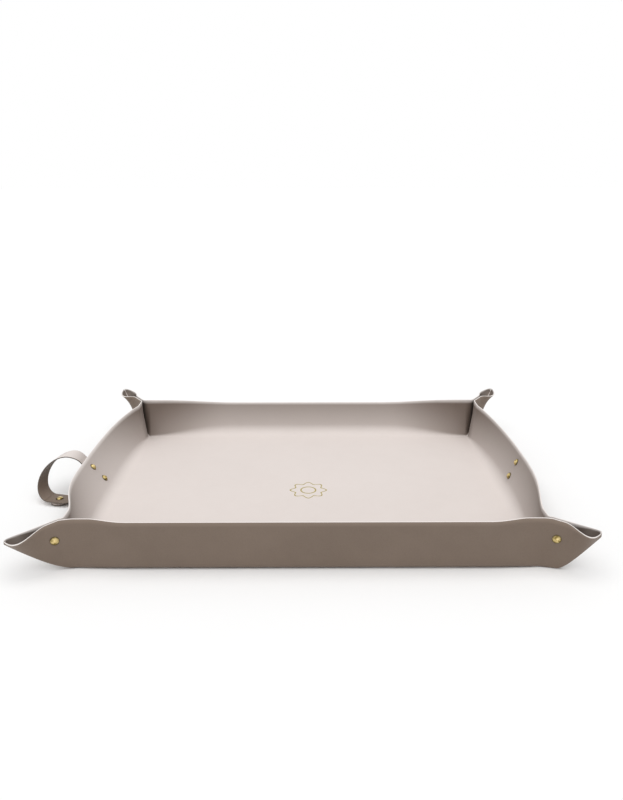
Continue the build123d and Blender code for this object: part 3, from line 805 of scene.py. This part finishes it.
# Rows of the arm that go with the flap, then the longest run of the bend to each side of the flex
# line and its greatest share of the loop's bulge
JOIN_ROWS = 4
BEND_RUN, BEND_SHARE = 4.0, 0.4
strap_finish = [STRAP_FACE, STRAP_EDGE, STRAP_BACK]
for side, handle in HANDLES.items():
    arm = handle.arm()
    fixed = [np.concatenate(v) for v in zip(handle.tongue(), handle.wall_run(), arm)]
    strap_rows = [v[: len(v) - JOIN_ROWS] for v in fixed]
    flap_rows = [np.concatenate([v[-JOIN_ROWS - 1 :], w]) for v, w in zip(arm, handle.flap())]
    strap = piece(side + "_strap_band", band(*strap_rows, cut=-1), strap_finish, ["painted_shade"])
    flap = piece(side + "_strap_end", band(*flap_rows, cut=0), strap_finish, ["painted_shade"])
    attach(strap, "tray")
    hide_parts(side + "_strap")
    flex = handle.on_table(handle.flex[0], 0.0, FLAP_LINE) / 1000
    ahead = handle.headings(np.array([handle.swing]))[0][0]
    bend = ahead * min(BEND_RUN, BEND_SHARE * handle.bulge) / 1000
    tuple(flex + bend)
    tuple(flex - bend)
    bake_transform(flap)
    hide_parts(side + "_strap_flap")


# Brass fittings


HEAD_STEPS = 56
# Rolled rim: its radius, and the share of the rim's height at which it is centred
ROLL, ROLL_LEVEL = 0.42, 0.55
# Power of the painted dark reflection towards a head's rim
RIM_REFLECTION_POWER = 2.5
# Any direction that no head's axis has
ASLANT = (0.31, 0.27, 0.91)


def domed_head(name, seat, axis, radius, rim, height):
    """Head of a press stud or rivet: a ball-shaped top that runs out into a rolled rim, turned about
    its axis, on a flat seat. The painted dark reflection at a point is a power of its share of the
    radius."""
    axis = unit(np.array(axis, float))
    rise = height - rim
    inner = radius - ROLL
    ball = (inner**2 + rise**2) / (2 * rise)
    lean = np.linspace(0, math.asin(inner / ball), 12)
    top = np.stack([ball * np.sin(lean), height - ball * (1 - np.cos(lean))])
    tuck = np.linspace(0.35 * np.pi, -0.5 * np.pi, 9)
    bead = np.stack([inner + ROLL * np.cos(tuck), rim * ROLL_LEVEL * (1 + np.sin(tuck))])
    base = np.array([[inner * 0.5, 0.0], [0.0, 0.0]])
    r, h = np.concatenate([top, bead, base], axis=1)
    first = unit(np.cross(axis, ASLANT))
    second = np.cross(axis, first)
    angle = np.linspace(0, 2 * np.pi, HEAD_STEPS, endpoint=False)[:, None]
    ring = first * np.cos(angle) + second * np.sin(angle)
    points = np.array(seat) + ring[None] * r[:, None, None] + axis * h[:, None, None]
    # Painted dark reflection, a power of the share of the radius
    painted_rim_reflection = np.repeat((r / radius) ** RIM_REFLECTION_POWER, HEAD_STEPS)
    grid = (points.reshape(-1, 3), grid_faces(len(r), HEAD_STEPS, closed=True), 0, painted_rim_reflection)
    return piece(name, [grid], [BRASS], ["rim"])


def fit(node, body, seat, axis, size):
    """A head in place of a fitting's solid, seated at a point of a face."""
    head = domed_head(node + "_head", seat, axis, *size)
    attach(head, body)
    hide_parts(node)


# Radius, rim and height of each kind of head
SNAP_CAP, SNAP_EYELET = (6.25, 0.7, 2.3), (5.2, 0.7, 1.4)
RIVET, RIVET_BACK = (6.0, 0.6, 4.0), (5.0, 0.6, 2.2)
for (sx, sy), ear in EARS.items():
    name = ("front" if sy < 0 else "rear") + ("_left" if sx < 0 else "_right") + "_snap"
    middle = np.array([sx * HALF_LENGTH, sy * HALF_WIDTH, SNAP_HEIGHT])
    heading = ear_heading(sx, sy)
    middle += heading * (ear.pinch_start + PINCH_LENGTH / 2)
    outward = sx * sy * np.cross(UP, heading)
    fit(name + "_cap", "tray", middle + outward * PINCH_OFFSET, outward, SNAP_CAP)
    fit(name + "_eyelet", "tray", middle - outward * PINCH_OFFSET, -outward, SNAP_EYELET)

for side, handle in HANDLES.items():
    name = side + "_strap_snap"
    stud = handle.flex[0] - FLAP_SNAP
    top = handle.on_table(stud, 0.0, FLAP_LINE + STRAP_THICKNESS / 2)
    fit(name + "_cap", side + "_flap", top, UP, SNAP_CAP)
    fit(name + "_eyelet", "tray", handle.on_table(stud, 0.0, STRAP_LIFT), -UP, SNAP_EYELET)
    inward = -handle.outward * handle.normal[0] - UP * handle.normal[1]
    for level, drop in (("upper", UPPER_RIVET), ("lower", UPPER_RIVET + RIVET_SPACING)):
        flat = handle.rim - handle.slope * drop
        spot = handle.edge + handle.outward * flat[0] + UP * flat[1]
        name = side + "_" + level + "_rivet"
        fit(name + "_cap", "tray", spot + inward * THICKNESS, inward, RIVET)
        fit(name + "_pin", "tray", spot - inward * (WALL_GAP + STRAP_THICKNESS), -inward, RIVET_BACK)

for node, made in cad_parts.items():
    finish = STEEL if node.endswith("_spring") else BRASS
    for slot in made.material_slots:
        slot.material = finish


# Table, light and camera


TABLE_REACH, TABLE_DROP = 12000, 0.2
FILL_STRENGTH = 0.5
# Camera: lens on a sensor of 36 mm, place in metres, tilt down and turn in degrees
LENS = 32.944
CAMERA_PLACE = (-0.000176, -1.135479, 0.54017)
CAMERA_TILT, CAMERA_TURN = 18.452, -0.283


def table_top():
    """Level table, a single wide grid just under the tray, white enough to meet the backdrop."""
    paint = Paint("table")
    place = paint.node("ShaderNodeTexCoord", output=3)
    cloud = paint.node("ShaderNodeTexNoise", {"Vector": place, "Scale": 3.0, "Detail": 2.0})
    base = paint.mixed(cloud, rgb(0.97, 0.97, 0.97), rgb(0.98, 0.98, 0.98))
    paint.set(base_color=base, roughness=0.9, specular_ior_level=0.0)
    span = np.linspace(-TABLE_REACH, TABLE_REACH, 5)
    x, y = np.meshgrid(span, span, indexing="ij")
    points = np.stack([x, y, np.full_like(x, -TABLE_DROP)], axis=-1).reshape(-1, 3)
    quads = grid_faces(len(span), len(span))[:, ::-1]
    piece("table_top", [(points, quads, 0)], [paint.material])


def backdrop():
    """Even pale surround that lights softly, and is plain white to the eye and in reflections."""
    world = bpy.data.worlds.new("surround")
    bpy.context.scene.world = world
    world.use_nodes = True
    nodes, links = world.node_tree.nodes, world.node_tree.links
    nodes.clear()
    path = nodes.new("ShaderNodeLightPath")
    seen = path.outputs["Is Camera Ray"]
    for ray in ("Is Glossy Ray", "Is Transmission Ray"):
        most = nodes.new("ShaderNodeMath")
        most.operation = "MAXIMUM"
        links.new(seen, most.inputs[0])
        links.new(path.outputs[ray], most.inputs[1])
        seen = most.outputs[0]
    fill, white = nodes.new("ShaderNodeBackground"), nodes.new("ShaderNodeBackground")
    for light, strength in ((fill, FILL_STRENGTH), (white, 1.0)):
        light.inputs["Color"].default_value = rgb(1.0, 1.0, 1.0)
        light.inputs["Strength"].default_value = strength
    mix, out = nodes.new("ShaderNodeMixShader"), nodes.new("ShaderNodeOutputWorld")
    links.new(seen, mix.inputs[0])
    links.new(fill.outputs[0], mix.inputs[1])
    links.new(white.outputs[0], mix.inputs[2])
    links.new(mix.outputs[0], out.inputs["Surface"])


def soft_sun(name, towards, strength, spread):
    """Broad soft light from a direction, with its spread in degrees."""
    lamp = bpy.data.lights.new(name, "SUN")
    lamp.energy = strength
    lamp.angle = math.radians(spread)
    made = bpy.data.objects.new(name, lamp)
    bpy.context.scene.collection.objects.link(made)
    direction = unit(np.array(towards, float))
    tilt = math.acos(direction[2])
    made.rotation_euler = (0.0, tilt, math.atan2(direction[1], direction[0]))


table_top()
backdrop()
soft_sun("overhead", towards=(-0.04, -0.2, 1.0), strength=1.76, spread=75)

camera = bpy.data.cameras.new("camera")
camera.sensor_width = 36.0
camera.lens = LENS
eye = bpy.data.objects.new("camera", camera)
eye.location = CAMERA_PLACE
eye.rotation_euler = (math.radians(90 - CAMERA_TILT), 0.0, math.radians(CAMERA_TURN))
bpy.context.scene.collection.objects.link(eye)
bpy.context.scene.camera = eye
bpy.context.scene.view_settings.view_transform = "Standard"
